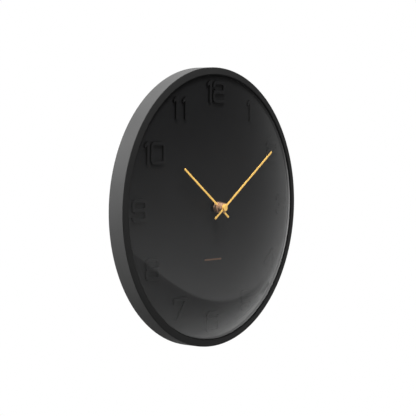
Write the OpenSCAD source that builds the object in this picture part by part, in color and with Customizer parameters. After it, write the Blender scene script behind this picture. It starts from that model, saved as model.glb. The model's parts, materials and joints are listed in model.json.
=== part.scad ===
// Round wall clock: steel drum, domed glass, raised numerals, two bar hands and a quartz movement.
// Millimetres. The clock faces -Y and +Z is up. The origin is the centre of the keyhole,
// on the outer face of the back panel, where the wall screw holds the clock.

/* [Case] */
// Outside radius of the drum
case_r = 175; // [172:1:185]
// Depth of the drum from the back panel to the front edge
case_depth = 22.3; // [22.3:0.1:30]
// Thickness of the drum's sheet steel
sheet = 1.2; // [1:0.1:1.4]
// Height of the keyhole above the dial's axis
keyhole_rise = 130; // [110:5:140]
// Radius of the keyhole's round part
keyhole_r = 4.5; // [4:0.25:6]
// Width of the keyhole's narrow part
keyhole_slot = 4.2; // [3.5:0.1:5]

/* [Bezel and glass] */
// Radius of the bezel's inner edge
lip_r = 166.6; // [164:0.2:168]
// Thickness of the glass
glass_t = 1.8; // [1.5:0.1:2]
// Outside radius of curvature of the glass dome
dome_r = 390; // [370:5:390]

/* [Dial] */
// Height of the numerals
numeral_h = 27; // [20:0.5:28]
// Width of a wide digit
numeral_w = 26.8; // [20:0.2:27]
// Width of the numerals' strokes
stroke = 4; // [3:0.1:4.5]
// How far the numerals stand out of the dial
relief = 2.2; // [1:0.1:2.2]
// Radius at which the 12, 3, 6 and 9 are centred; the others stand a little further in
numeral_ring = 144.4; // [128:0.2:144.6]

/* [Hands] */
// Hour shown, from 1 to 12
shown_hour = 10; // [1:1:12]
// Minute shown
shown_minute = 9.15; // [0:0.05:59.95]
// Length of the minute hand from the axis to its tip
minute_len = 121.7; // [90:0.5:122]
// Length of the minute hand's tail
minute_tail = 23.2; // [15:0.2:30]
// Length of the hour hand from the axis to its tip
hour_len = 86; // [60:0.5:95]
// Length of the hour hand's tail
hour_tail = 22.4; // [15:0.2:30]
// Width of both hands
hand_w = 2.7; // [2:0.1:5]

/* [Movement] */
// Width and height of the movement
move_size = 56; // [56:1:58]
// Module of the wheels between the centre wheel and the second wheel
train_module = 0.25; // [0.24:0.01:0.26]
// Module of the wheels that turn the hands
motion_module = 0.35; // [0.34:0.01:0.36]

/* [Hidden] */

// Smoothness of round shapes
$fn = 96;
// Smallest step that keeps two cuts from sharing a face
eps = 0.01;
// Radial clearance of every turning fit
run = 0.05;

// Heights are measured forward from the back panel's outer face, along the dial's axis.
dial_t = 1.2;
dial_front = case_depth - 1.4;
dial_back = dial_front - dial_t;
seat_t = 0.55;
flange_back = dial_front + seat_t;
flange_front = flange_back + glass_t;
lip_back = flange_front + 0.3;
lip_front = lip_back + 0.65;
crest = lip_front + 0.4;

// The glass dome meets its flat flange just inside the bezel's lip.
dome_foot_r = lip_r;
dome_centre = flange_front - sqrt(dome_r * dome_r - dome_foot_r * dome_foot_r);
flange_r = 170;

// Front ring of the bezel: a slope from its outer corner to the crest, then a round inner edge
corner_drop = 1;
edge_r = 1.2;
crest_outer_r = case_r - 3.2;
crest_inner_r = case_r - 5.5;
lip_round = 0.45;

// Stiffening bead pressed into the back panel, and the bend between panel and wall
bead_r = 152;
bead_half = 2.5;
bead_flank = 1.5;
bead_depth = 1;
bend_r = 2;

// Rings inside the drum
drum_inner_r = case_r - sheet;
skirt_outer_r = drum_inner_r - 0.2;
skirt_inner_r = skirt_outer_r - sheet;
stack_r = skirt_inner_r - 0.2;
seat_inner_r = 165.1;
skirt_back = 8;
support_ring_w = 3;
pad_t = 1.5;
pad_r = 5;
pad_ring = 165;
slot_rise = 10;

// Movement: heights of its shells
washer_t = 0.8;
shell_t = 1.2;
shell_front = dial_back - washer_t;
shell_back = shell_front - 15.5;
floor_in = shell_front - shell_t;
cover_in = shell_back + shell_t;
half = move_size / 2;
inside = half - shell_t;
bay_top = -11.9;
bay_bottom = -inside;
bay_floor = shell_front - 0.8;
wall_top = bay_top + 1;
opening_half = half + 2;

// Levels of the wheels, each as [back, front]
lvl_hour = [floor_in - 1.2, floor_in - 0.2];
lvl_motion = [floor_in - 2.5, floor_in - 1.5];
lvl_centre = [floor_in - 3.8, floor_in - 3.0];
lvl_plate = [floor_in - 5.5, floor_in - 4.1];
lvl_third = [floor_in - 6.5, floor_in - 5.7];
lvl_second = [floor_in - 7.8, floor_in - 7.0];
lvl_middle = [floor_in - 9.0, floor_in - 8.2];
lvl_magnet = [floor_in - 12.1, floor_in - 9.5];
lvl_stator = [floor_in - 11.3, floor_in - 10.1];
pinion_over = 0.1;
pivot_in = 0.5;
pivot_r = 0.4;

// Tooth counts
n_rotor = 8;
n_middle = 48;
n_middle_p = 8;
n_second = 40;
n_second_p = 8;
n_third = 60;
n_third_p = 8;
n_centre = 64;
n_cannon = 12;
n_reduce = 36;
n_reduce_p = 10;
n_hour = 40;
n_knob = 12;

// Centre distances. The wheels that share the dial's axis fix the modules of their partners.
function spacing(a, b, m) = (a + b) * m / 2;
third_dist = spacing(n_centre, n_third_p, train_module);
third_module = 2 * third_dist / (n_third + n_second_p);
middle_dist = spacing(n_second, n_middle_p, train_module);
rotor_module = 0.2;
rotor_dist = spacing(n_middle, n_rotor, rotor_module);
reduce_dist = spacing(n_cannon, n_reduce, motion_module);
hour_module = 2 * reduce_dist / (n_hour + n_reduce_p);
knob_dist = spacing(n_reduce, n_knob, motion_module);

// Directions from one axis to the next, in degrees from +X
third_dir = 20;
middle_dir = 140;
rotor_dir = 110;
reduce_dir = 180;
knob_dir = 200;
function step_to(from, dir, dist) = from + dist * [cos(dir), sin(dir)];
third_at = step_to([0, 0], third_dir, third_dist);
middle_at = step_to([0, 0], middle_dir, middle_dist);
rotor_at = step_to(middle_at, rotor_dir, rotor_dist);
reduce_at = step_to([0, 0], reduce_dir, reduce_dist);
knob_at = step_to(reduce_at, knob_dir, knob_dist);
post_at = [[-18.5, 12], [-18.5, -9], [17, 12], [17, -9]];

// Radii and heights on the hands' axis
bushing_r = 4;
pipe_r = 2.6;
arbor_r = 1.6;
nut_back = dial_front + 0.4;
nut_front = nut_back + 2.4;
bushing_front = nut_front + 0.9;
hour_boss_back = case_depth + 3.4;
hour_back = case_depth + 8.1;
hour_front = hour_back + 0.6;
minute_boss_back = hour_front + 0.5;
minute_back = case_depth + 15.5;
minute_front = minute_back + 0.5;
cap_front = minute_front + 1.7;
hour_boss_r = 7.1;
minute_boss_r = 6.1;
minute_eye_r = 4.6;
cap_r = 4.2;

// AA cell
cell_r = 7.1;
cell_len = 49.2;
cell_at = (bay_top + bay_bottom) / 2;
cell_h = bay_floor - cell_r - 0.05;

// Coil: half the height and half the width of the wound block, and the sleeve that it is wound on
coil_at = 20.5;
core_half = 14.5;
core_w = 4;
coil_half = 9;
coil_rise = 3.2;
coil_width = 4.6;
flange_t = 1;
sleeve_w = 5.4;
sleeve_h = 2.6;
core_back = lvl_stator[1];
core_front = core_back + 1.2;
core_mid = (core_back + core_front) / 2;
arm_x = 12.5;
arm_w = 4;

// Circuit board, with the crystal and the chip on its back
board_level = [lvl_stator[1] - 1, lvl_stator[1]];
board_low = [15.8, -8];
board_size = [10.7, 27];
crystal_r = 0.95;
crystal_at = [18.4, 4];
crystal_len = 7;
chip_at = [22.8, 0];
chip_r = 3.2;

// Level of the pinions that set and turn the hands, and of the battery's contacts
cannon_level = [lvl_motion[0] - pinion_over, lvl_motion[1] + pinion_over];
contact_t = 0.35;
contact_size = [11, 12.5];
spring_turns = 3;

// Angles of the hands, clockwise from 12
minute_angle = shown_minute * 6;
hour_angle = (shown_hour % 12) * 30 + shown_minute / 2;

// Digits: corners, the narrower digits, the hooks of the open ones, the 1's flag and the gaps
corner_r = 6;
narrow_w = numeral_w * 0.92;
hook = 7.6;
flag_reach = 4.4;
flag_drop = 3.6;
digit_gap = 3.2;
ones_gap = 13.3;
inner_ring = numeral_ring - 2.8;
ten_ring = numeral_ring - 8.8;
six_waist = numeral_h * 0.648;
nine_waist = numeral_h * 0.53;
leg_slant = 16.8;

// ---- Shared shapes ----

// Puts a piece drawn with the dial's axis along +Z, front up, into the clock's frame.
module in_clock() {
    translate([0, 0, -keyhole_rise]) rotate([90, 0, 0]) children();
}

module tube(r_out, r_in, back, front) {
    translate([0, 0, back]) difference() {
        cylinder(r = r_out, h = front - back);
        translate([0, 0, -1]) cylinder(r = r_in, h = front - back + 2);
    }
}

module rod(r, back, front, at = [0, 0]) {
    translate([at[0], at[1], back]) cylinder(r = r, h = front - back, $fn = 48);
}

module slab(level, at = [0, 0]) {
    translate([at[0], at[1], level[0]]) linear_extrude(height = level[1] - level[0]) children();
}

// Rectangle from one corner to the other, with round corners.
module round_rect(low, high, r) {
    translate([low[0] + r, low[1]]) square([high[0] - low[0] - 2 * r, high[1] - low[1]]);
    translate([low[0], low[1] + r]) square([high[0] - low[0], high[1] - low[1] - 2 * r]);
    for (x = [low[0] + r, high[0] - r]) for (y = [low[1] + r, high[1] - r])
        translate([x, y]) circle(r = r, $fn = 32);
}

function arc(centre, r, from, to, steps) =
    [for (i = [0:steps]) let (a = from + (to - from) * i / steps) centre + r * [cos(a), sin(a)]];

// Where the flanks of a tooth start and end, as parts of the pitch angle
tooth_root = 0.28;
tooth_tip = 0.1;
function tooth_tip_r(n, m) = n * m / 2 + 0.8 * m;
function tooth_root_r(n, m) = n * m / 2 - 1.05 * m;

module toothed(n, m, phase) {
    pitch = 360 / n;
    polygon([for (i = [0:n - 1]) for (p = [[-tooth_root, 0], [-tooth_tip, 1], [tooth_tip, 1], [tooth_root, 0]])
        let (a = phase + (i + p[0]) * pitch, r = p[1] == 0 ? tooth_root_r(n, m) : tooth_tip_r(n, m))
        r * [cos(a), sin(a)]]);
}

// Phase that brings a gear into mesh with a partner, which lies in direction dir from the partner.
function mesh_phase(dir, partner_phase, n_partner, n) =
    dir + 180 - (0.5 - (dir - partner_phase) * n_partner / 360) * 360 / n;

// Wheel with round windows between its hub and its rim.
module wheel(n, m, phase, level, windows) {
    rim_r = tooth_root_r(n, m) - 1;
    window_r = rim_r * 0.24;
    slab(level) difference() {
        toothed(n, m, phase);
        if (windows > 0) for (i = [0:windows - 1]) rotate(i * 360 / windows + 30)
            translate([rim_r * 0.62, 0]) circle(r = window_r, $fn = 32);
    }
}

// ---- Case ----

// The bead's outline on one face of the sheet, from its outer foot to its inner foot.
function bead(base, spread) = [[bead_r + bead_half + bead_flank + spread, base],
    [bead_r + bead_half + spread, base + bead_depth], [bead_r - bead_half - spread, base + bead_depth],
    [bead_r - bead_half - bead_flank - spread, base]];
function reversed(points) = [for (i = [len(points) - 1:-1:0]) points[i]];

module case_drum() color("#3a3b3d") in_clock() difference() {
    rotate_extrude($fn = 180) polygon(concat([[0, 0]], reversed(bead(0, 0)),
        arc([case_r - bend_r, bend_r], bend_r, -90, 0, 5),
        [[case_r, case_depth], [drum_inner_r, case_depth], [drum_inner_r, 2 * sheet]],
        [[drum_inner_r - sheet, sheet]], bead(sheet, 0.4), [[0, sheet]]));
    translate([0, 0, -1]) linear_extrude(height = sheet + 2)
        round_rect([-opening_half, -opening_half], [opening_half, opening_half], 3);
    translate([0, keyhole_rise, -1]) cylinder(r = keyhole_r, h = sheet + 2);
    translate([-keyhole_slot / 2, keyhole_rise, -1]) cube([keyhole_slot, slot_rise, sheet + 2]);
    translate([0, keyhole_rise + slot_rise, -1]) cylinder(r = keyhole_slot / 2, h = sheet + 2);
}

module front_bezel() color("#1e1f20") in_clock() rotate_extrude($fn = 180) polygon(concat(
    [[skirt_inner_r, skirt_back], [skirt_outer_r, skirt_back], [skirt_outer_r, case_depth + 0.2]],
    [[case_r, case_depth + 0.2], [case_r, case_depth + corner_drop]],
    arc([case_r - edge_r, case_depth + corner_drop], edge_r, 15, 75, 4),
    [[crest_outer_r, crest], [crest_inner_r, crest - 0.02]],
    arc([lip_r + lip_round, lip_front - lip_round], lip_round, 75, 180, 5),
    [[lip_r, lip_back], [skirt_inner_r, lip_back]]));

module lens_gasket() color("#0e0e0f") in_clock() rotate_extrude($fn = 180) polygon([
    [seat_inner_r, dial_front], [stack_r, dial_front], [stack_r, lip_back],
    [lip_r + 0.3, lip_back], [lip_r + 0.3, flange_front], [flange_r, flange_front],
    [flange_r, flange_back], [seat_inner_r, flange_back]]);

module glass_lens() color("#c8d2d8", 0.25) in_clock() {
    difference() {
        intersection() {
            translate([0, 0, dome_centre]) sphere(r = dome_r, $fn = 240);
            cylinder(r = dome_foot_r, h = case_depth + 100, $fn = 180);
            translate([0, 0, flange_back]) cylinder(r = 2 * case_r, h = 100);
        }
        translate([0, 0, dome_centre]) sphere(r = dome_r - glass_t, $fn = 240);
    }
    tube(flange_r, dome_foot_r, flange_back, flange_front, $fn = 180);
}

module dial_support_ring() color("#2a2a2b") in_clock()
    tube(stack_r, stack_r - support_ring_w, sheet, dial_back, $fn = 180);

module wall_pads() color("#161616") in_clock() for (a = [45, 135, 225, 315]) rotate(a)
    translate([pad_ring, 0, -pad_t]) {
        cylinder(r1 = pad_r - 0.4, r2 = pad_r, h = 0.4);
        translate([0, 0, 0.4]) cylinder(r = pad_r, h = pad_t - 0.4);
    }

// ---- Dial ----

module dial_plate() color("#242526") in_clock()
    tube(stack_r, bushing_r + 0.3, dial_back, dial_front, $fn = 180);

// Closed loop of one stroke's width
module loop(low, high) {
    difference() {
        round_rect(low, high, corner_r);
        round_rect([low[0] + stroke, low[1] + stroke], [high[0] - stroke, high[1] - stroke],
            corner_r - stroke);
    }
}

// Two stacked loops, the base of most digits. waist is the height of the shared bar's middle.
module two_loops(w, waist) {
    loop([0, 0], [w, waist + stroke / 2]);
    loop([0, waist - stroke / 2], [w, numeral_h]);
}

// Gaps in the left or right side that turn two loops into an open digit
module left_gap(low, high, reach = stroke) {
    translate([-1, low]) square([reach + 1 + eps, high - low]);
}

module right_gap(w, low, high, reach = stroke) {
    translate([w - reach - eps, low]) square([reach + 1, high - low]);
}

module digit_0() loop([0, 0], [numeral_w, numeral_h]);

module digit_1() {
    square([stroke, numeral_h]);
    polygon([[0, numeral_h], [-flag_reach, numeral_h - flag_drop], [-flag_reach, numeral_h - flag_drop - 3.8],
        [0, numeral_h - flag_drop - 0.8]]);
}

module digit_2() difference() {
    two_loops(narrow_w, numeral_h / 2);
    left_gap((numeral_h + stroke) / 2, numeral_h - hook);
    right_gap(narrow_w, stroke, (numeral_h - stroke) / 2, corner_r);
}

module digit_3() difference() {
    two_loops(narrow_w, numeral_h / 2);
    left_gap(hook, numeral_h - hook, stroke + 2);
}

module digit_4() {
    bar_low = 6.5;
    translate([narrow_w - stroke - 4, 0]) square([stroke, numeral_h]);
    translate([0, bar_low]) square([narrow_w, stroke]);
    polygon([[0, bar_low], [stroke * 1.25, bar_low], [narrow_w - 4, numeral_h],
        [narrow_w - stroke - 4, numeral_h], [0, bar_low + stroke]]);
}

module digit_5() difference() {
    two_loops(narrow_w, numeral_h / 2);
    right_gap(narrow_w, (numeral_h + stroke) / 2, numeral_h - stroke, corner_r);
    left_gap(hook, (numeral_h - stroke) / 2);
}

module digit_6() difference() {
    two_loops(numeral_w, six_waist);
    right_gap(numeral_w, six_waist + stroke / 2, numeral_h - stroke - 1.6);
}

module digit_7() {
    leg_w = stroke * 1.25;
    translate([0, numeral_h - stroke]) square([numeral_w, stroke]);
    translate([0, numeral_h - hook]) square([stroke, hook - eps]);
    polygon([[numeral_w - leg_w, numeral_h - stroke], [numeral_w, numeral_h - stroke + eps],
        [numeral_w - leg_slant, 0], [numeral_w - leg_slant - leg_w, 0]]);
}

module digit_8() two_loops(numeral_w, numeral_h / 2);

module digit_9() difference() {
    two_loops(numeral_w, nine_waist);
    left_gap(hook - 1.5, nine_waist - stroke / 2);
}

module digit(d) {
    if (d == 0) digit_0();
    if (d == 1) digit_1();
    if (d == 2) digit_2();
    if (d == 3) digit_3();
    if (d == 4) digit_4();
    if (d == 5) digit_5();
    if (d == 6) digit_6();
    if (d == 7) digit_7();
    if (d == 8) digit_8();
    if (d == 9) digit_9();
}

function digit_w(d) = d == 1 ? stroke : (d > 1 && d < 6) ? narrow_w : numeral_w;
// Hour h centred on the origin. A leading 1 reaches to the left of its stem with its flag.
module numeral(h) {
    tens = floor(h / 10);
    ones = h % 10;
    flag = (tens == 1 || ones == 1) ? flag_reach : 0;
    gap = h == 11 ? ones_gap : digit_gap;
    wide = tens == 0 ? digit_w(ones) : stroke + gap + digit_w(ones);
    translate([(flag - wide) / 2, -numeral_h / 2]) {
        if (tens == 1) digit(1);
        translate([tens == 1 ? stroke + gap : 0, 0]) digit(ones);
    }
}

// The 10 is the widest at the dial's side, so it stands furthest in.
function ring_of(h) = h % 3 == 0 ? numeral_ring : h == 10 ? ten_ring : inner_ring;

// The 3, 7 and 8 stand a little to the right of their hour lines.
function right_shift(h) = h == 3 ? 2.4 : h == 7 ? 5 : h == 8 ? 4.2 : 0;

module hour_numerals() color("#202122") in_clock() for (h = [1:12]) let (a = 90 - h * 30)
    slab([dial_front, dial_front + relief], ring_of(h) * [cos(a), sin(a)] + [right_shift(h), 0])
        numeral(h);

module dial_mark() color("#b0744c") in_clock() slab([dial_front, dial_front + 0.15], [0, -65.5])
    round_rect([-17, -1], [17, 1], 0.6);

// ---- Clamping the movement ----

module dial_washer() color("#111111") in_clock() tube(14, bushing_r + 0.2, shell_front, dial_back);

module nut_washer() color("#2a2826") in_clock() tube(6.6, bushing_r + 0.2, dial_front, nut_back);

module fixing_nut() color("#2a2826") in_clock() difference() {
    translate([0, 0, nut_back]) cylinder(r = 6.4, h = nut_front - nut_back, $fn = 6);
    translate([0, 0, nut_back - 1]) cylinder(r = bushing_r, h = 5);
}

// ---- Movement shells ----

module movement_housing() color("#1c1c1d") in_clock() {
    difference() {
        slab([shell_back, shell_front]) round_rect([-half, -half], [half, half], 2);
        translate([-inside, wall_top, shell_back - 1])
            cube([2 * inside, inside - wall_top, floor_in - shell_back + 1]);
        translate([-inside, bay_bottom, shell_back - 1])
            cube([2 * inside, bay_top - bay_bottom, bay_floor - shell_back + 1]);
        rod(pipe_r + run, floor_in - 1, shell_front + 1);
        rod(0.5 + run, floor_in - 1, floor_in + pivot_in + 0.1, third_at);
        rod(0.6 + run, floor_in - 1, floor_in + pivot_in + 0.1, knob_at);
    }
    tube(bushing_r, pipe_r + run, shell_front, bushing_front);
    rod(0.8, lvl_motion[0] - 0.2, floor_in, reduce_at);
    for (p = post_at) {
        rod(1.25, lvl_plate[1], floor_in, p);
        rod(0.7, lvl_plate[0] - 0.2, lvl_plate[1], p);
    }
    for (x = [-arm_x, arm_x]) rod(1.6, core_front, floor_in, [x, coil_at]);
    for (z = [-4, 15]) rod(1.5, lvl_stator[1], floor_in, [21, z]);
    for (x = [-inside + 1.5, inside - 1.5]) rod(1.5, cover_in, floor_in, [x, inside - 1.5]);
}

module rear_cover() color("#232324") in_clock() difference() {
    translate([-inside + 0.05, wall_top + 0.05, shell_back])
        cube([2 * inside - 0.1, inside - wall_top - 0.1, shell_t]);
    for (p = [[0, 0], middle_at, rotor_at]) rod(pivot_r + run, cover_in - pivot_in - 0.1, cover_in + 1, p);
    rod(0.5 + run, cover_in - pivot_in - 0.1, cover_in + 1, third_at);
    rod(1 + run, shell_back - 1, cover_in + 1, knob_at);
}

module train_plate() color("#d8d4c6") in_clock() difference() {
    slab(lvl_plate) round_rect([-20.5, -10.5], [19, 13.8], 2);
    rod(0.6 + run, lvl_plate[1] - pivot_in - 0.1, lvl_plate[1] + 1);
    for (p = [[0, 0], middle_at, rotor_at])
        rod(pivot_r + run, lvl_plate[0] - 1, lvl_plate[0] + pivot_in + 0.1, p);
    rod(1, lvl_plate[0] - 1, lvl_plate[1] + 1, third_at);
    rod(1.15, lvl_plate[0] - 1, lvl_plate[1] + 1, knob_at);
    for (p = post_at) rod(0.75, lvl_plate[0] - 1, lvl_plate[1] + 1, p);
}

// ---- Wheels that turn the hands ----

module minute_arbor() color("#c9a24a") in_clock() {
    slab(cannon_level) toothed(n_cannon, motion_module, 0);
    rod(arbor_r, cannon_level[1], minute_front);
    rod(1.2, lvl_centre[0] - 0.1, cannon_level[0]);
    rod(0.6, lvl_plate[1] - pivot_in, lvl_centre[0] - 0.1);
    rod(1.2, minute_front, cap_front - 0.7);
}

module reduction_wheel() color("#e6e2d6") in_clock() translate([reduce_at[0], reduce_at[1], 0]) difference() {
    union() {
        wheel(n_reduce, motion_module, mesh_phase(reduce_dir, 0, n_cannon, n_reduce), lvl_motion, 6);
        slab([lvl_motion[1], lvl_hour[1] + 0.1]) toothed(n_reduce_p, hour_module, 0);
    }
    rod(0.8 + run, lvl_motion[0] - 1, floor_in);
}

module hour_wheel() color("#e6e2d6") in_clock() difference() {
    union() {
        wheel(n_hour, hour_module, mesh_phase(reduce_dir + 180, 0, n_reduce_p, n_hour), lvl_hour, 0);
        rod(pipe_r, lvl_hour[0], hour_front + 0.3);
    }
    rod(arbor_r + run, lvl_hour[0] - 1, hour_front + 1);
}

module setting_knob() color("#e9e6dc") in_clock() translate([knob_at[0], knob_at[1], 0]) {
    slab(cannon_level) toothed(n_knob, motion_module, mesh_phase(knob_dir, mesh_phase(reduce_dir, 0,
        n_cannon, n_reduce), n_reduce, n_knob));
    rod(1, shell_back - 0.2, cannon_level[0]);
    rod(0.6, cannon_level[1], floor_in + pivot_in);
    slab([shell_back - 1.5, shell_back - 0.2]) difference() {
        circle(r = 4.5);
        for (i = [0:23]) rotate(i * 15) translate([4.62, 0]) circle(r = 0.32, $fn = 16);
    }
}

// ---- Going train ----

module centre_wheel() color("#e6e2d6") in_clock() difference() {
    wheel(n_centre, train_module, 0, lvl_centre, 6);
    rod(1.2 + run, lvl_centre[0] - 1, lvl_centre[1] + 1);
}

module third_wheel() color("#e6e2d6") in_clock() translate([third_at[0], third_at[1], 0]) {
    wheel(n_third, third_module, 0, lvl_third, 6);
    slab([lvl_centre[0] - pinion_over, lvl_centre[1] + pinion_over])
        toothed(n_third_p, train_module, mesh_phase(third_dir, 0, n_centre, n_third_p));
    rod(0.5, cover_in - pivot_in, floor_in + pivot_in);
}

module second_wheel() color("#e6e2d6") in_clock() {
    wheel(n_second, train_module, 0, lvl_second, 5);
    slab([lvl_third[0] - pinion_over, lvl_third[1] + pinion_over])
        toothed(n_second_p, third_module, mesh_phase(third_dir + 180, 0, n_third, n_second_p));
    rod(0.6, lvl_second[1], lvl_third[0]);
    rod(pivot_r, cover_in - pivot_in, lvl_plate[0] + pivot_in);
}

module intermediate_wheel() color("#e6e2d6") in_clock() translate([middle_at[0], middle_at[1], 0]) {
    wheel(n_middle, rotor_module, 0, lvl_middle, 5);
    slab([lvl_second[0] - pinion_over, lvl_second[1] + pinion_over])
        toothed(n_middle_p, train_module, mesh_phase(middle_dir, 0, n_second, n_middle_p));
    rod(pivot_r, cover_in - pivot_in, lvl_plate[0] + pivot_in);
}

module rotor_pinion() color("#e6e2d6") in_clock() translate([rotor_at[0], rotor_at[1], 0]) {
    slab([lvl_middle[0] - pinion_over, lvl_middle[1] + pinion_over])
        toothed(n_rotor, rotor_module, mesh_phase(rotor_dir, 0, n_middle, n_rotor));
    rod(pivot_r, cover_in - pivot_in, lvl_plate[0] + pivot_in);
}

module rotor_magnet() color("#4c4f55") in_clock() translate([rotor_at[0], rotor_at[1], 0])
    tube(2.9, pivot_r, lvl_magnet[0], lvl_magnet[1]);

// ---- Motor and electronics ----

module stator() color("#9aa0a6") in_clock() slab(lvl_stator) difference() {
    union() {
        translate([-arm_x - arm_w / 2, 5]) square([2 * arm_x + arm_w, 9]);
        for (x = [-arm_x, arm_x]) translate([x - arm_w / 2, 5]) square([arm_w, coil_at + 2 - 5]);
    }
    translate(rotor_at) circle(r = 3.4);
    for (a = [rotor_dir, rotor_dir + 180])
        translate(rotor_at + 3.5 * [cos(a), sin(a)]) circle(r = 0.5, $fn = 24);
}

module coil_core() color("#8a8f95") in_clock()
    slab([core_back, core_front]) translate([-core_half, coil_at - core_w / 2]) square([2 * core_half, core_w]);

// Block round the core's middle line
module coil_block(x_half, y_half, z_half) {
    translate([-x_half, coil_at - y_half, core_mid - z_half]) cube([2 * x_half, 2 * y_half, 2 * z_half]);
}

module coil_bobbin() color("#f0ede4") in_clock() difference() {
    union() {
        for (s = [-1, 1]) translate([s * (coil_half + flange_t / 2), 0, 0])
            coil_block(flange_t / 2, coil_width, coil_rise);
        coil_block(coil_half + flange_t / 2, sleeve_w / 2, sleeve_h / 2);
    }
    coil_block(core_half, core_w / 2, (core_front - core_back) / 2);
}

module coil_winding() color("#b5651d") in_clock() difference() {
    coil_block(coil_half, coil_width - 0.4, coil_rise - 0.4);
    coil_block(coil_half + 1, sleeve_w / 2, sleeve_h / 2);
}

module circuit_board() color("#1f6b3a") in_clock()
    slab(board_level) translate(board_low) square(board_size);

module quartz_crystal() color("#c3c7cb") in_clock()
    translate([crystal_at[0], crystal_at[1], board_level[0] - crystal_r]) rotate([-90, 0, 0])
        cylinder(r = crystal_r, h = crystal_len);

module clock_chip() color("#0d0d0e") in_clock()
    slab([board_level[0] - 1, board_level[0]], chip_at) circle(r = chip_r);

// ---- Battery ----

module battery() color("#6f767c") in_clock() translate([-cell_len / 2, cell_at, cell_h]) rotate([0, 90, 0]) {
    cylinder(r = cell_r, h = cell_len);
    translate([0, 0, cell_len]) cylinder(r = 2.7, h = 1);
}

module contact_plate(x) {
    translate([x, cell_at - contact_size[0] / 2, shell_back + shell_t])
        cube([contact_t, contact_size[0], contact_size[1]]);
}

module positive_contact() color("#d0d2d4") in_clock() {
    contact_plate(inside - contact_t);
    translate([cell_len / 2 + 1, cell_at, cell_h]) rotate([0, 90, 0])
        cylinder(r = 2, h = inside - contact_t - cell_len / 2 - 1);
}

// Flat plate with a cone-shaped spring, drawn as stacked rings that run into each other
module negative_contact() color("#d0d2d4") in_clock() {
    contact_plate(-inside);
    rise = (inside - cell_len / 2 - contact_t) / spring_turns;
    for (i = [0:spring_turns - 1]) translate([-inside + contact_t + rise * i - 0.1, cell_at, cell_h])
        rotate([0, 90, 0]) tube(5.1 - i * 0.55, 4.1 - i * 0.55, 0, rise + 0.1);
}

// ---- Hands ----

module hand(angle, len, tail, ring_r, hole_r, level) {
    slab(level) rotate(-angle) difference() {
        union() {
            translate([-hand_w / 2, -tail]) square([hand_w, len + tail]);
            circle(r = ring_r);
        }
        circle(r = hole_r);
    }
}

module hour_hand() color("#e0b152") in_clock()
    hand(hour_angle, hour_len, hour_tail, hour_boss_r, pipe_r, [hour_back, hour_front]);

module hour_boss() color("#d8a94c") in_clock() tube(hour_boss_r, pipe_r, hour_boss_back, hour_back);

module minute_hand() color("#e0b152") in_clock()
    hand(minute_angle, minute_len, minute_tail, minute_eye_r, arbor_r, [minute_back, minute_front]);

module minute_boss() color("#d8a94c") in_clock() tube(minute_boss_r, arbor_r, minute_boss_back, minute_back);

module cap_nut() color("#d8a94c") in_clock() difference() {
    rotate_extrude() polygon(concat([[0, minute_front], [cap_r, minute_front]],
        arc([cap_r - 0.6, cap_front - 0.6], 0.6, 0, 90, 4), [[0, cap_front]]));
    rod(1.2, minute_front - 1, cap_front - 0.7);
}

case_drum();
front_bezel();
lens_gasket();
glass_lens();
dial_plate();
hour_numerals();
dial_mark();
dial_support_ring();
wall_pads();
dial_washer();
nut_washer();
fixing_nut();
movement_housing();
rear_cover();
train_plate();
minute_arbor();
centre_wheel();
third_wheel();
second_wheel();
intermediate_wheel();
rotor_pinion();
rotor_magnet();
reduction_wheel();
hour_wheel();
setting_knob();
stator();
coil_core();
coil_bobbin();
coil_winding();
circuit_board();
quartz_crystal();
clock_chip();
battery();
positive_contact();
negative_contact();
hour_hand();
hour_boss();
minute_hand();
minute_boss();
cap_nut();
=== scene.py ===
"""Looks of a round wall clock, built around its CAD frame. Metres, front towards -Y, +Z up."""

import json
import math

import bmesh
import bpy
from mathutils import Matrix, Vector


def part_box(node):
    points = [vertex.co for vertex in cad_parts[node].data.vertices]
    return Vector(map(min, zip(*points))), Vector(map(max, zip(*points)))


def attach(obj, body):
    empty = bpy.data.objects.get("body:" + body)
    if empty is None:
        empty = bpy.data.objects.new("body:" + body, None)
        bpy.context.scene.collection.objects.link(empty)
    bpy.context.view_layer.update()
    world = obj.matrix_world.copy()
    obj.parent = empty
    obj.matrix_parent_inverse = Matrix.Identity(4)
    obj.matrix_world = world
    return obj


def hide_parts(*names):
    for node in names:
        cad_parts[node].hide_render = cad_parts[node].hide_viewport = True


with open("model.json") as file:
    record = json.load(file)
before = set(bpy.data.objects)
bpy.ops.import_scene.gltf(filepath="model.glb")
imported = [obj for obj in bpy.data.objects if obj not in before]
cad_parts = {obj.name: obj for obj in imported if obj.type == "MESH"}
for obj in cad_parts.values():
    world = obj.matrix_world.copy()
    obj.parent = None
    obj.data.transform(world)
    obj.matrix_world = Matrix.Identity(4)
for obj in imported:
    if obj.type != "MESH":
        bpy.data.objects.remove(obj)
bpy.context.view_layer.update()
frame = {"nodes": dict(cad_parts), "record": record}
MM = 0.001

# ---- Places that everything is worked out from ----

CASE_LOW, CASE_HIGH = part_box("case_drum")
CASE_R = (CASE_HIGH.x - CASE_LOW.x) / 2
AXIS_Z = (CASE_HIGH.z + CASE_LOW.z) / 2
FRONT_Y = CASE_LOW.y
DRUM_FRONT = Vector((0, FRONT_Y, AXIS_Z))


def level(node, front=True):
    """How far a node's front or back face lies in front of the back panel, in metres."""
    low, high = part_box(node)
    return -low.y if front else -high.y


def radius(node):
    """Radius of a round node, from its height."""
    low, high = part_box(node)
    return (high.z - low.z) / 2


def direction(azimuth, height):
    """A unit vector towards an azimuth from straight in front, positive to the right, and a
    height, both in radians."""
    return Vector((math.sin(azimuth) * math.cos(height), -math.cos(azimuth) * math.cos(height),
                   math.sin(height)))


# ---- Mesh helpers. A lathe profile is a list of (radius, height in front of the back panel). ----

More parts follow.
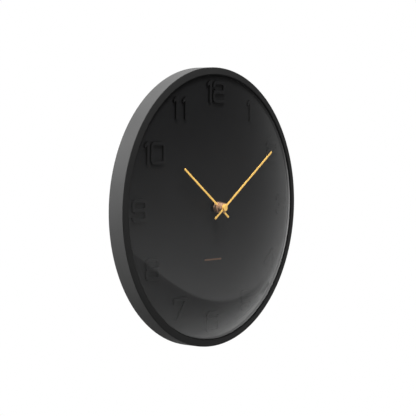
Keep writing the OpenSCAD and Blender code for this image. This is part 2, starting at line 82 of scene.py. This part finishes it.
ROUND_STEPS = 256
HUB_STEPS = 160
SMOOTH_ANGLE = math.radians(32)
TURNED_ANGLE = math.radians(50)  # sharp edges of small turned pieces
ON_AXIS = 1e-9
WELD = 2e-6
FLAT_ANGLE = math.radians(0.5)


def arc(centre, r, start, end, steps):
    """Points of a circular arc in a profile, from start to end in degrees."""
    angles = [math.radians(start + (end - start) * i / steps) for i in range(steps + 1)]
    return [(centre[0] + r * math.cos(a), centre[1] + r * math.sin(a)) for a in angles]


def make_piece(name, bm, body, *nodes, sharp=SMOOTH_ANGLE):
    """Makes a piece of a bmesh: smooth faces, sharp edges past an angle, riding on its body."""
    bmesh.ops.recalc_face_normals(bm, faces=bm.faces)
    for face in bm.faces:
        face.smooth = True
    for edge in bm.edges:
        edge.smooth = not (edge.is_manifold and edge.calc_face_angle(0) > sharp)
    mesh = bpy.data.meshes.new(name)
    bm.to_mesh(mesh)
    bm.free()
    piece = bpy.data.objects.new(name, mesh)
    bpy.context.scene.collection.objects.link(piece)
    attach(piece, body)
    if nodes:
        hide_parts(*nodes)
    return piece


def dial_point(x, up, out):
    """A point given across, up from the dial's axis, and out from the back panel."""
    return Vector((x, -out, AXIS_Z + up))


def along_x(up, out, start):
    """Placing for a turned shape whose axis runs along X: its heights count from start."""
    return lambda r, h, a: dial_point(start + h, up + r * math.sin(a), out + r * math.cos(a))


def lathe(profile, place=None, steps=ROUND_STEPS, bm=None, closed=True):
    """Turns a profile round the dial's axis, or where place(r, height, angle) puts it. A profile
    that isn't closed has to start and end on the axis."""
    place = place or (lambda r, h, a: dial_point(r * math.cos(a), r * math.sin(a), h))
    bm = bm or bmesh.new()
    rings = []
    for r, h in profile:
        count = 1 if r < ON_AXIS else steps
        rings.append([bm.verts.new(place(r, h, 2 * math.pi * i / steps)) for i in range(count)])
    pairs = list(zip(rings, rings[1:]))
    if closed:
        pairs.append((rings[-1], rings[0]))
    for one, two in pairs:
        if len(one) == 1 and len(two) == 1:
            continue
        for i in range(steps):
            j = (i + 1) % steps
            if len(one) == 1:
                bm.faces.new((one[0], two[i], two[j]))
            elif len(two) == 1:
                bm.faces.new((one[i], one[j], two[0]))
            else:
                bm.faces.new((one[i], one[j], two[j], two[i]))
    return bm


def sweep(points, r, bm=None, sides=12):
    """A round wire along a path, with closed ends."""
    bm = bm or bmesh.new()
    rings = []
    side = None
    for i, p in enumerate(points):
        ahead = (points[min(i + 1, len(points) - 1)] - points[max(i - 1, 0)]).normalized()
        side = side or ahead.orthogonal()
        side = (side - ahead * side.dot(ahead)).normalized()
        other = ahead.cross(side)
        turns = [2 * math.pi * k / sides for k in range(sides)]
        rings.append([bm.verts.new(p + r * (side * math.cos(t) + other * math.sin(t)))
                      for t in turns])
    for one, two in zip(rings, rings[1:]):
        for k in range(sides):
            m = (k + 1) % sides
            bm.faces.new((one[k], one[m], two[m], two[k]))
    bm.faces.new(rings[0])
    bm.faces.new(rings[-1])
    return bm


def node_copy(node):
    """A clean bmesh of a CAD node, with flat faces joined back into single faces."""
    bm = bmesh.new()
    bm.from_mesh(frame["nodes"][node].data)
    bmesh.ops.remove_doubles(bm, verts=bm.verts, dist=WELD)
    bmesh.ops.dissolve_limit(bm, angle_limit=FLAT_ANGLE, verts=bm.verts, edges=bm.edges)
    return bm


def bevelled_copy(name, node, body, width, segments=2):
    """A copy of a CAD node with its sharp edges rounded."""
    piece = make_piece(name, node_copy(node), body, node, sharp=math.pi)
    mod = piece.modifiers.new("rounded edges", "BEVEL")
    mod.width = width
    mod.segments = segments
    mod.limit_method = "ANGLE"
    mod.angle_limit = SMOOTH_ANGLE
    mod.harden_normals = True
    mod.use_clamp_overlap = True
    return piece


# ---- Materials. Scales of noise are per metre; depths of bump are in millimetres. ----

ORANGE_PEEL = 900.0
FINE_GRAIN = 1500.0
FINE_DEPTH = 0.004
GLOSS_BELOW, GLOSS_ABOVE = 0.008, 0.012  # paint's change of roughness
CLEAR_MIRROR = 0.04  # how much glass mirrors head on


class Nodes:
    """Short names for building a material's node tree."""

    def __init__(self, name):
        self.material = bpy.data.materials.new(name)
        self.material.use_nodes = True
        self.tree = self.material.node_tree
        self.tree.nodes.clear()
        self.out = self.tree.nodes.new("ShaderNodeOutputMaterial")
        self.place = self.tree.nodes.new("ShaderNodeTexCoord").outputs["Object"]

    def add(self, kind, **sockets):
        """A node with its named sockets set or linked."""
        node = self.tree.nodes.new(kind)
        for key, value in sockets.items():
            self.put(node, key.replace("_", " "), value)
        return node

    def put(self, node, key, value):
        """Sets a socket, by its name or number, to a value or links it to a socket."""
        socket = node.inputs[int(key)] if key.isdigit() else node.inputs[key]
        if isinstance(value, bpy.types.NodeSocket):
            self.tree.links.new(value, socket)
        else:
            socket.default_value = value

    def noise(self, scale, detail=3.0, rough=0.55, stretch=(1, 1, 1)):
        """Noise in the piece's own coordinates."""
        spread = self.add("ShaderNodeMapping", Vector=self.place, Scale=stretch)
        return self.add("ShaderNodeTexNoise", Vector=spread.outputs[0], Scale=scale, Detail=detail,
                        Roughness=rough).outputs["Fac"]

    def ramp(self, fac, low, high, start=0.35, end=0.65):
        """A number that goes from low to high as fac goes from start to end."""
        node = self.add("ShaderNodeMapRange", Value=fac)
        node.inputs["From Min"].default_value = start
        node.inputs["From Max"].default_value = end
        node.inputs["To Min"].default_value = low
        node.inputs["To Max"].default_value = high
        return node.outputs[0]

    def tint(self, fac, one, two):
        """A colour between two by a factor."""
        node = self.tree.nodes.new("ShaderNodeMix")
        node.data_type = "RGBA"
        self.tree.links.new(fac, node.inputs[0])
        node.inputs[6].default_value = (*one, 1)
        node.inputs[7].default_value = (*two, 1)
        return node.outputs[2]

    def calc(self, operation, *values):
        """The result of a math node on numbers or sockets."""
        node = self.tree.nodes.new("ShaderNodeMath")
        node.operation = operation
        for i, value in enumerate(values):
            self.put(node, str(i), value)
        return node.outputs[0]

    def open_share(self, reach):
        """Painted shade: 1 on open surfaces, falling to 0.2 in corners, within a reach in metres.
        """
        node = self.add("ShaderNodeAmbientOcclusion", Distance=reach)
        node.samples = 8
        return self.ramp(node.outputs["AO"], 0.25, 1, 0.2, 1.0)

    def scaled(self, colour, share):
        """A colour darkened to a share of itself."""
        node = self.tree.nodes.new("ShaderNodeVectorMath")
        node.operation = "SCALE"
        self.tree.links.new(colour, node.inputs[0])
        self.tree.links.new(share, node.inputs["Scale"])
        return node.outputs[0]

    def bump(self, height, strength, distance):
        """A normal tilted by a height."""
        node = self.add("ShaderNodeBump", Height=height, Strength=strength, Distance=distance)
        return node.outputs[0]

    def shader(self, **sockets):
        """A Principled shader with these sockets, joined to the output."""
        node = self.add("ShaderNodeBsdfPrincipled")
        for key, value in sockets.items():
            self.put(node, key.replace("_", " "), value)
        self.tree.links.new(node.outputs[0], self.out.inputs[0])
        return node


def painted(name, colour, shade, rough, specular, grain=ORANGE_PEEL, depth=0.012, corners=None):
    """Satin powder coat: fine orange peel with slight changes of tone and gloss. With a reach in
    metres as corners, painted shade darkens the paint's colour in narrow corners."""
    n = Nodes(name)
    tone = n.ramp(n.noise(14.0, 2.0), 0, 1)
    fine = n.noise(grain, 2.0)
    coat = n.tint(tone, colour, shade)
    if corners:
        # Painted shade: the colour darkens where ambient occlusion finds walls close by.
        coat = n.scaled(coat, n.open_share(corners))
    n.shader(Base_Color=coat,
             Roughness=n.ramp(fine, rough - GLOSS_BELOW, rough + GLOSS_ABOVE),
             Specular_IOR_Level=specular,
             Normal=n.bump(fine, 0.35, depth * MM))
    return n.material


def raised_paint(name, face, side, rough, specular):
    """Matt paint on raised digits: their faces match the dial; their side walls get a far darker
    colour, painted shade for the walls.
    """
    n = Nodes(name)
    turn = n.tree.nodes.new("ShaderNodeSeparateXYZ")
    n.tree.links.new(n.place.node.outputs["Normal"], turn.inputs[0])
    # Painted shade: the colour turns to the dark wall colour where the surface faces sideways.
    flat = n.ramp(n.calc("ABSOLUTE", turn.outputs[1]), 0, 1, 0.35, 0.9)
    fine = n.noise(FINE_GRAIN, 2.0)
    n.shader(Base_Color=n.tint(flat, side, face),
             Roughness=n.ramp(fine, rough - GLOSS_BELOW, rough + GLOSS_ABOVE),
             Specular_IOR_Level=specular,
             Normal=n.bump(fine, 0.35, FINE_DEPTH * MM))
    return n.material


def plastic(name, colour, shade, rough, grain=1400.0, depth=0.02, specular=0.5):
    """Moulded plastic with a fine spark-eroded texture."""
    n = Nodes(name)
    broad = n.noise(60.0, 3.0)
    fine = n.noise(grain, 2.0)
    n.shader(Base_Color=n.tint(n.ramp(broad, 0, 1), colour, shade),
             Roughness=n.ramp(fine, rough - 0.06, rough + 0.06),
             Specular_IOR_Level=specular,
             Normal=n.bump(fine, 0.4, depth * MM))
    return n.material


def rubber(name, colour, shade):
    """Matt rubber with a little dust."""
    n = Nodes(name)
    dust = n.noise(180.0, 4.0)
    n.shader(Base_Color=n.tint(n.ramp(dust, 0, 1), colour, shade),
             Roughness=n.ramp(dust, 0.72, 0.9),
             Specular_IOR_Level=0.3,
             Normal=n.bump(n.noise(2500.0, 2.0), 0.3, 0.02 * MM))
    return n.material


def metal(name, colour, shade, rough, stretch=(1, 1, 1), grain=700.0, depth=0.004, metallic=1.0):
    """Bare or lacquered metal with fine brushing along one direction."""
    n = Nodes(name)
    lines = n.noise(grain, 3.0, stretch=stretch)
    broad = n.noise(90.0, 2.0)
    n.shader(Base_Color=n.tint(n.ramp(broad, 0, 1), colour, shade), Metallic=metallic,
             Roughness=n.ramp(lines, rough - 0.05, rough + 0.08),
             Normal=n.bump(lines, 0.25, depth * MM))
    return n.material


def clear_glass():
    """Clear lens that doesn't bend light: it mirrors more towards its edges, by Schlick's rule."""
    n = Nodes("lens_glass")
    wiped = n.noise(9.0, 3.0, stretch=(1, 1, 0.35))
    mirror = n.add("ShaderNodeBsdfGlossy", Color=(1, 1, 1, 1),
                   Roughness=n.ramp(wiped, 0.015, 0.035))
    through = n.add("ShaderNodeBsdfTransparent", Color=(0.985, 0.99, 0.988, 1))
    facing = n.add("ShaderNodeLayerWeight", Blend=0.5).outputs["Facing"]
    share = n.calc("MULTIPLY_ADD", n.calc("POWER", facing, 5.0), 1 - CLEAR_MIRROR, CLEAR_MIRROR)
    mix = n.tree.nodes.new("ShaderNodeMixShader")
    n.tree.links.new(share, mix.inputs[0])
    n.tree.links.new(through.outputs[0], mix.inputs[1])
    n.tree.links.new(mirror.outputs[0], mix.inputs[2])
    n.tree.links.new(mix.outputs[0], n.out.inputs[0])
    return n.material


MATERIALS = {
    "case_paint": painted("case_paint", (0.032, 0.032, 0.032), (0.028, 0.028, 0.028), 0.5, 0.2),
    "bezel_paint": painted("bezel_paint", (0.0095, 0.0095, 0.0095), (0.0085, 0.0085, 0.0085), 0.5,
                           0.15),
    "gasket_rubber": rubber("gasket_rubber", (0.004, 0.004, 0.004), (0.007, 0.007, 0.007)),
    "lens_glass": clear_glass(),
    # The dial paint's last number turns on painted shade near the raised digits and other walls.
    "dial_paint": painted("dial_paint", (0.0058, 0.0057, 0.006), (0.0052, 0.0051, 0.0054), 0.5,
                          0.14, FINE_GRAIN, FINE_DEPTH, 2.5 * MM),
    # The second colour of the numeral paint is painted shade for the digits' side walls.
    "numeral_paint": raised_paint("numeral_paint", (0.0056, 0.0055, 0.0058),
                                  (0.0006, 0.0006, 0.0006), 0.5, 0.14),
    "copper_foil": metal("copper_foil", (0.52, 0.30, 0.20), (0.46, 0.26, 0.17), 0.4, (1, 1, 12)),
    "fibre_board": plastic("fibre_board", (0.05, 0.048, 0.045), (0.035, 0.034, 0.032), 0.9, 500.0,
                           0.06, 0.2),
    "pad_rubber": rubber("pad_rubber", (0.012, 0.012, 0.012), (0.02, 0.02, 0.02)),
    "washer_rubber": rubber("washer_rubber", (0.01, 0.01, 0.01), (0.016, 0.016, 0.016)),
    "nut_black": metal("nut_black", (0.03, 0.029, 0.028), (0.022, 0.021, 0.02), 0.45),
    "housing_plastic": plastic("housing_plastic", (0.018, 0.018, 0.019), (0.024, 0.024, 0.025),
                               0.5),
    "cover_plastic": plastic("cover_plastic", (0.02, 0.02, 0.021), (0.026, 0.026, 0.027), 0.45),
    "plate_plastic": plastic("plate_plastic", (0.72, 0.68, 0.58), (0.68, 0.64, 0.55), 0.45),
    "arbor_brass": metal("arbor_brass", (0.75, 0.55, 0.24), (0.66, 0.47, 0.19), 0.25, (1, 14, 1)),
    "gear_plastic": plastic("gear_plastic", (0.82, 0.8, 0.73), (0.78, 0.76, 0.69), 0.3),
    "magnet": metal("magnet", (0.16, 0.165, 0.18), (0.12, 0.125, 0.135), 0.45),
    "knob_plastic": plastic("knob_plastic", (0.84, 0.82, 0.76), (0.8, 0.78, 0.71), 0.35),
    "motor_iron": metal("motor_iron", (0.5, 0.51, 0.53), (0.42, 0.43, 0.45), 0.35, (12, 1, 1)),
    "bobbin_plastic": plastic("bobbin_plastic", (0.85, 0.83, 0.77), (0.8, 0.78, 0.72), 0.4),
    "copper_wire": metal("copper_wire", (0.62, 0.26, 0.08), (0.5, 0.19, 0.05), 0.25, (14, 1, 1)),
    "board_lacquer": plastic("board_lacquer", (0.03, 0.14, 0.05), (0.025, 0.11, 0.04), 0.25),
    "crystal_can": metal("crystal_can", (0.72, 0.73, 0.75), (0.66, 0.67, 0.69), 0.15),
    "chip_resin": plastic("chip_resin", (0.01, 0.01, 0.011), (0.015, 0.015, 0.016), 0.2),
    "cell_jacket": plastic("cell_jacket", (0.1, 0.11, 0.13), (0.085, 0.095, 0.115), 0.22, 300.0,
                           0.004),
    "contact_steel": metal("contact_steel", (0.72, 0.72, 0.7), (0.62, 0.62, 0.6), 0.22, (1, 1, 9)),
    "hand_gold": metal("hand_gold", (0.82, 0.50, 0.13), (0.76, 0.46, 0.115), 0.42, grain=1200.0,
                       depth=0.003, metallic=0.3),
    "boss_gold": metal("boss_gold", (0.55, 0.33, 0.20), (0.48, 0.28, 0.17), 0.25, (1, 18, 1),
                       metallic=0.55),
}

for part in frame["record"]["subparts"]:
    slots = frame["nodes"][part["node"]].data.materials
    slots.clear()
    slots.append(MATERIALS[part["material_slot"]])


def dress(piece, slot):
    """Gives a piece the material of a slot."""
    piece.data.materials.append(MATERIALS[slot])
    return piece


# ---- Bezel and glass ----

SHEET = 1.2 * MM
LIP_WIDTH = 8.4 * MM
LIP_R = CASE_R - LIP_WIDTH
CREST = level("front_bezel")
SKIRT_BACK = level("front_bezel", front=False)
LENS_R = radius("glass_lens")
LENS_BACK = level("glass_lens", front=False)
LENS_TOP = level("glass_lens")
LENS_RINGS = 72
GLASS_T = 1.8 * MM
FLANGE_FRONT = LENS_BACK + GLASS_T
SLOPE = math.radians(14)  # fall of the bezel's face towards its outer edge
CORNER = 2.4 * MM  # width of the bezel's outer corner
MAX_BEND = 1.3 * MM


def make_bezel():
    """Pressed ring: a slightly sloping front face, a rolled outer corner and a fine inner edge."""
    skirt_r = CASE_R - SHEET - 0.2 * MM
    drum_edge = -FRONT_Y
    lip_back = FLANGE_FRONT + 0.3 * MM
    inner = 0.5 * MM
    run = CASE_R - CORNER - LIP_R - inner
    profile = [(skirt_r - SHEET, SKIRT_BACK), (skirt_r, SKIRT_BACK),
               (skirt_r, drum_edge + 0.2 * MM), (CASE_R - 0.25 * MM, drum_edge + 0.2 * MM),
               (CASE_R, drum_edge + 0.45 * MM)]
    fall = run * math.tan(SLOPE)
    facing = 90 - math.degrees(SLOPE)
    bend = min(MAX_BEND, CREST - fall - drum_edge - 0.1 * MM)
    profile += arc((CASE_R - bend, CREST - fall - bend), bend, 6, facing, 9)
    profile += arc((LIP_R + inner, CREST - inner), inner, facing, 180, 8)
    profile += [(LIP_R, lip_back), (skirt_r - SHEET, lip_back)]
    piece = make_piece("bezel_ring", lathe(profile), "case", "front_bezel", sharp=math.radians(40))
    return dress(piece, "bezel_paint")


def make_lens():
    """Domed lens: two spherical faces a glass thickness apart, and a flat flange under the lip."""
    rise = LENS_TOP - FLANGE_FRONT
    ball = (rise * rise + LIP_R * LIP_R) / (2 * rise)
    centre = LENS_TOP - ball

    def dome(r_ball, floor):
        """Profile of a spherical face, from the axis out to where it meets a level."""
        edge = math.sqrt(r_ball * r_ball - (floor - centre) ** 2)
        steps = [edge * math.sin(math.pi / 2 * i / LENS_RINGS) for i in range(LENS_RINGS + 1)]
        return [(r, centre + math.sqrt(r_ball * r_ball - r * r)) for r in steps]

    outer = dome(ball, FLANGE_FRONT)
    inner = dome(ball - GLASS_T, LENS_BACK)
    profile = outer + [(LENS_R - 0.3 * MM, FLANGE_FRONT), (LENS_R, FLANGE_FRONT - 0.3 * MM),
                       (LENS_R, LENS_BACK)] + inner[::-1]
    piece = make_piece("domed_lens", lathe(profile, closed=False), "case", "glass_lens")
    return dress(piece, "lens_glass")


def make_seal():
    """Thin black bead in the corner between the bezel's lip and the glass."""
    bead = 0.6 * MM
    profile = arc((LIP_R - bead * 0.5, FLANGE_FRONT + bead * 0.75), bead, 0, 345, 23)
    return dress(make_piece("seal_bead", lathe(profile), "case", sharp=math.pi), "gasket_rubber")


# ---- Hub ----

HUB_BORE = 1.7 * MM


def make_hub(name, node, body, edge, groove, front):
    """Turned gold collar, up to the level front, with rounded rims. A groove, where there is one,
    lies that far behind the front."""
    r = radius(node)
    back = level(node, front=False)
    profile = [(HUB_BORE, back), (r - edge, back)] + arc((r - edge, back + edge), edge, -90, 0, 5)
    if groove:
        at = front - groove
        profile += [(r, at - 0.12 * MM), (r - 0.1 * MM, at), (r, at + 0.12 * MM)]
    profile += arc((r - edge, front - edge), edge, 0, 90, 5) + [(HUB_BORE, front)]
    piece = make_piece(name, lathe(profile, steps=HUB_STEPS), body, node, sharp=TURNED_ANGLE)
    return dress(piece, "boss_gold")


def make_cap():
    """Polished cap nut: rounded rim and a shallow dished face."""
    r = radius("cap_nut")
    back, front = level("cap_nut", front=False), level("cap_nut")
    edge = 0.55 * MM
    profile = [(0, back), (r - 0.1 * MM, back), (r, back + 0.1 * MM)]
    profile += arc((r - edge, front - edge), edge, 0, 90, 8)
    profile += [(r * 0.5, front - 0.02 * MM), (0, front - 0.05 * MM)]
    bm = lathe(profile, steps=HUB_STEPS, closed=False)
    piece = make_piece("polished_cap", bm, "minute", "cap_nut", sharp=TURNED_ANGLE)
    return dress(piece, "hand_gold")


# ---- Back of the clock ----

def make_pads():
    """Four soft wall pads with rounded edges."""
    low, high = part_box("wall_pads")
    thick, pad_r, edge = high.y, 5 * MM, 0.45 * MM
    reach = (high.x - low.x) / 2 - pad_r
    profile = [(0, 0), (pad_r, 0)] + arc((pad_r - edge, -thick + edge), edge, 0, -90, 5)
    profile += [(pad_r * 0.55, -thick), (pad_r * 0.4, -thick + 0.12 * MM), (0, -thick + 0.15 * MM)]
    bm = bmesh.new()
    for across in (-reach, reach):
        for up in (-reach, reach):
            def place(r, h, a, across=across, up=up):
                return dial_point(across + r * math.cos(a), up + r * math.sin(a), h)
            lathe(profile, place, 64, bm, closed=False)
    piece = make_piece("wall_bumpers", bm, "case", "wall_pads", sharp=math.radians(60))
    return dress(piece, "pad_rubber")


def make_battery():
    """AA cell: shrunk jacket, crimped shoulders, raised button and flat base."""
    low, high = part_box("battery")
    r = (high.z - low.z) / 2
    up, out = (high.z + low.z) / 2 - AXIS_Z, -(high.y + low.y) / 2
    button = 1.0 * MM
    length = high.x - low.x - button
    place = along_x(up, out, low.x)
    lip, groove, rim = 0.5 * MM, 0.25 * MM, 0.4 * MM
    profile = [(0, 0.25 * MM), (r * 0.62, 0.25 * MM), (r * 0.68, 0.05 * MM), (r - 2 * lip, 0)]
    profile += arc((r - lip, lip), lip, -90, 0, 4)
    profile += [(r, 2.2 * MM), (r - groove, 2.5 * MM), (r - groove, 2.9 * MM), (r, 3.2 * MM),
                (r, length - 2.4 * MM), (r - groove, length - 2.1 * MM)]
    profile += arc((r - lip - groove, length - lip), lip, 0, 90, 4)
    profile += [(r * 0.75, length - 0.15 * MM), (r * 0.72, length - 0.3 * MM),
                (r * 0.4, length - 0.3 * MM)]
    profile += arc((r * 0.38 - rim, length + button - rim), rim, 0, 90, 4)
    profile += [(0, length + button)]
    bm = lathe(profile, place, 96, closed=False)
    return dress(make_piece("dry_cell", bm, "case", "battery", sharp=TURNED_ANGLE), "cell_jacket")


def make_spring_contact():
    """Negative contact: a sheet plate with a wound cone spring."""
    low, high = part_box("negative_contact")
    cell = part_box("battery")
    up, out = (cell[0].z + cell[1].z) / 2 - AXIS_Z, -(cell[0].y + cell[1].y) / 2
    plate = 0.35 * MM
    bm = bmesh.new()
    span = Vector((plate, high.y - low.y, high.z - low.z))
    middle = Vector((low.x + plate / 2, (low.y + high.y) / 2, (low.z + high.z) / 2))
    bmesh.ops.create_cube(bm, size=1,
                          matrix=Matrix.Translation(middle) @ Matrix.Diagonal((*span, 1)))
    bmesh.ops.bevel(bm, geom=[e for e in bm.edges], offset=0.12 * MM, segments=2, affect="EDGES")
    turns, steps, wire = 2.75, 150, 0.3 * MM
    foot_r, taper = 4.5, 1.5
    dead, rising = 0.12, 0.76  # shares of the wire: flat at the foot, and climbing
    start = low.x + plate + wire * 0.6
    end = high.x - wire
    path = []
    for i in range(steps + 1):
        t = i / steps
        a = 2 * math.pi * turns * t
        r = (foot_r - taper * t) * MM
        x = start + (end - start) * min(1, max(0, (t - dead) / rising))
        path.append(dial_point(x, up + r * math.sin(a), out + r * math.cos(a)))
    sweep(path, wire, bm)
    piece = make_piece("spring_contact", bm, "case", "negative_contact", sharp=TURNED_ANGLE)
    return dress(piece, "contact_steel")


HOUR_COLLAR_FRONT = level("hour_hand") + 0.2 * MM

make_bezel()
make_seal()
make_lens()
dress(bevelled_copy("raised_numerals", "hour_numerals", "case", 0.35 * MM, 3), "numeral_paint")
dress(bevelled_copy("hour_bar", "hour_hand", "hour", 0.1 * MM), "hand_gold")
dress(bevelled_copy("minute_bar", "minute_hand", "minute", 0.1 * MM), "hand_gold")
make_hub("hour_collar", "hour_boss", "hour", 0.3 * MM, 0, HOUR_COLLAR_FRONT)
make_hub("minute_collar", "minute_boss", "minute", 0.3 * MM, 1.1 * MM, level("minute_boss"))
make_cap()
dress(bevelled_copy("clamp_nut", "fixing_nut", "case", 0.25 * MM), "nut_black")
make_pads()
make_battery()
make_spring_contact()
dress(bevelled_copy("moulded_housing", "movement_housing", "case", 0.3 * MM), "housing_plastic")
dress(bevelled_copy("moulded_cover", "rear_cover", "case", 0.2 * MM), "cover_plastic")
dress(bevelled_copy("knurled_knob", "setting_knob", "knob", 0.1 * MM), "knob_plastic")

# ---- Camera: the photograph's angle ----

CAM_AZIMUTH, CAM_HEIGHT, CAM_ROLL = math.radians(-52.337), math.radians(2.7), math.radians(0.748)
CAM_DISTANCE = 10.399 * CASE_R
IMAGE_SIDE, FOCAL_PX = 416, 1450.02
SHIFT_PX = (-6.549, -0.649)
SENSOR = 36.0
CLIP = (0.01, 100)


def make_camera():
    """The camera that took the photograph, as fitted to the clock's rings."""
    data = bpy.data.cameras.new("camera")
    data.sensor_width = SENSOR
    data.lens = SENSOR * FOCAL_PX / IMAGE_SIDE
    data.shift_x, data.shift_y = (px / IMAGE_SIDE for px in SHIFT_PX)
    data.clip_start, data.clip_end = CLIP
    camera = bpy.data.objects.new("camera", data)
    bpy.context.scene.collection.objects.link(camera)
    back = direction(CAM_AZIMUTH, CAM_HEIGHT)
    right = Vector((math.cos(CAM_AZIMUTH), math.sin(CAM_AZIMUTH), 0))
    up = back.cross(right)
    across = right * math.cos(CAM_ROLL) + up * math.sin(CAM_ROLL)
    upright = up * math.cos(CAM_ROLL) - right * math.sin(CAM_ROLL)
    camera.matrix_world = Matrix((across, upright, back)).transposed().to_4x4()
    camera.location = DRUM_FRONT + back * CAM_DISTANCE
    bpy.context.scene.camera = camera


# ---- Studio ----

FLOOR_Z, FLOOR_R = -1.6, 0.9
LIGHT_SPREAD = math.radians(50)
PANEL_MIDDLE = 42.0  # azimuth in degrees where the panel's lower edge is lowest
PANEL_EDGE = (0.00705, -28.4)  # rise of that edge per square degree, and its lowest height


def make_world():
    """White studio seen by the camera. The clock is lit by a dim grey panel in front, whose curved
    lower edge the lens mirrors, with a paler gap below it and a bright backdrop behind."""
    world = bpy.data.worlds.new("studio")
    bpy.context.scene.world = world
    world.use_nodes = True
    tree = world.node_tree
    tree.nodes.clear()
    new, link = tree.nodes.new, tree.links.new

    def fill(socket, value):
        if isinstance(value, bpy.types.NodeSocket):
            link(value, socket)
        else:
            socket.default_value = value

    def calc(kind, *values):
        node = new("ShaderNodeMath")
        node.operation = kind
        for i, value in enumerate(values):
            fill(node.inputs[i], value)
        return node.outputs[0]

    def step(value, start, end, low, high):
        node = new("ShaderNodeMapRange")
        node.interpolation_type = "SMOOTHSTEP"
        for key, v in (("Value", value), ("From Min", start), ("From Max", end), ("To Min", low),
                       ("To Max", high)):
            fill(node.inputs[key], v)
        return node.outputs[0]

    def blend(factor, one, two):
        """one where factor is 0, two where it's 1"""
        return calc("ADD", calc("MULTIPLY", one, calc("SUBTRACT", 1.0, factor)),
                    calc("MULTIPLY", two, factor))

    split = new("ShaderNodeSeparateXYZ")
    link(new("ShaderNodeTexCoord").outputs["Generated"], split.inputs[0])
    x, y, z = split.outputs
    degrees = 180 / math.pi
    azimuth = calc("MULTIPLY", calc("ARCTAN2", x, calc("MULTIPLY", y, -1.0)), degrees)
    height = calc("MULTIPLY", calc("ARCSINE", z), degrees)
    # Panel: brighter lower down, darker towards the ceiling
    panel = calc("MULTIPLY", calc("EXPONENT", calc("MULTIPLY", z, -2.3)), 0.18)
    panel = calc("MULTIPLY", panel, step(z, 0.1, 0.6, 1.0, 0.4))
    # Its lower edge curves up to both sides
    aside = calc("POWER", calc("ABSOLUTE", calc("SUBTRACT", azimuth, PANEL_MIDDLE)), 2.0)
    below = calc("SUBTRACT", calc("MULTIPLY_ADD", aside, *PANEL_EDGE), height)
    # The gap under it, paler with its depth
    depth = calc("MINIMUM", calc("MAXIMUM", below, 0.0), 12.0)
    depth = calc("POWER", calc("DIVIDE", depth, 10.0), 1.5)
    gap = calc("ADD", step(azimuth, 40.0, 70.0, 0.22, 0.27),
               calc("MULTIPLY", depth, step(azimuth, 12.0, 80.0, 0.12, 0.7)))
    front = blend(step(below, -0.5, 0.5, 0.0, 1.0), panel, gap)
    # A bright wall to the right of them
    front = calc("ADD", front, step(azimuth, 98.0, 106.0, 0.0, 0.7))
    # A thin dark stand beside the panel
    turn, lift = calc("SUBTRACT", azimuth, 90.0), calc("ADD", height, 16.9)
    across = calc("ABSOLUTE", calc("MULTIPLY_ADD", lift, -1.25, turn))
    along = calc("SUBTRACT", calc("MULTIPLY", lift, 6.1), turn)
    stand = calc("MULTIPLY", step(across, 0.3, 1.3, 0.6, 0.0), step(along, -1.0, 1.0, 0.0, 1.0))
    stand = calc("MULTIPLY", stand, step(along, 12.0, 14.0, 1.0, 0.0))
    front = calc("MULTIPLY", front, calc("SUBTRACT", 1.0, stand))
    # Little light from below
    front = calc("MULTIPLY", front, step(z, -0.76, -0.63, 0.12, 1.0))
    # Backdrop: a white wall behind, brightest above
    backdrop = step(z, -0.1, 0.5, 0.1, 1.3)
    total = blend(step(y, 0.4, 0.62, 0.0, 1.0), front, backdrop)
    # Plain white where the camera looks past the clock
    lit, seen = new("ShaderNodeBackground"), new("ShaderNodeBackground")
    mix = new("ShaderNodeMixShader")
    link(total, lit.inputs[1])
    lit.inputs[0].default_value = seen.inputs[0].default_value = (1, 1, 1, 1)
    link(new("ShaderNodeLightPath").outputs["Is Camera Ray"], mix.inputs[0])
    link(lit.outputs[0], mix.inputs[1])
    link(seen.outputs[0], mix.inputs[2])
    link(mix.outputs[0], new("ShaderNodeOutputWorld").inputs[0])


def soft_light(name, azimuth, height, distance, size, power):
    """An area light aimed at the dial, at an azimuth from straight in front (positive to the
    right). The lens doesn't mirror it: its reflections come from the studio around it."""
    data = bpy.data.lights.new(name, "AREA")
    data.shape = "DISK"
    data.size = size
    data.energy = power
    data.spread = LIGHT_SPREAD
    light = bpy.data.objects.new(name, data)
    bpy.context.scene.collection.objects.link(light)
    way = direction(math.radians(azimuth), math.radians(height))
    light.location = DRUM_FRONT + way * distance
    light.visible_glossy = False
    light.rotation_mode = "QUATERNION"
    light.rotation_quaternion = way.to_track_quat("Z", "Y")


def make_floor():
    """Pale round floor below the clock, out of the photograph's view."""
    bm = bmesh.new()
    bmesh.ops.create_circle(bm, cap_ends=True, radius=FLOOR_R, segments=96,
                            matrix=Matrix.Translation((0, 0, FLOOR_Z)))
    mesh = bpy.data.meshes.new("floor")
    bm.to_mesh(mesh)
    bm.free()
    floor = bpy.data.objects.new("floor", mesh)
    bpy.context.scene.collection.objects.link(floor)
    n = Nodes("floor_paint")
    n.shader(Base_Color=n.tint(n.ramp(n.noise(3.0), 0, 1), (0.8, 0.8, 0.79), (0.77, 0.77, 0.765)),
             Roughness=0.8)
    mesh.materials.append(n.material)


make_camera()
make_world()
# Name, azimuth and height in degrees, distance and size in metres, power in watts
soft_light("key", -12, 20, 2.2, 0.6, 2.2)
soft_light("top", -25, 64, 1.8, 0.6, 9)
soft_light("side", -115, 22, 2.2, 1.3, 15)
make_floor()
bpy.context.scene.view_settings.view_transform = "Standard"
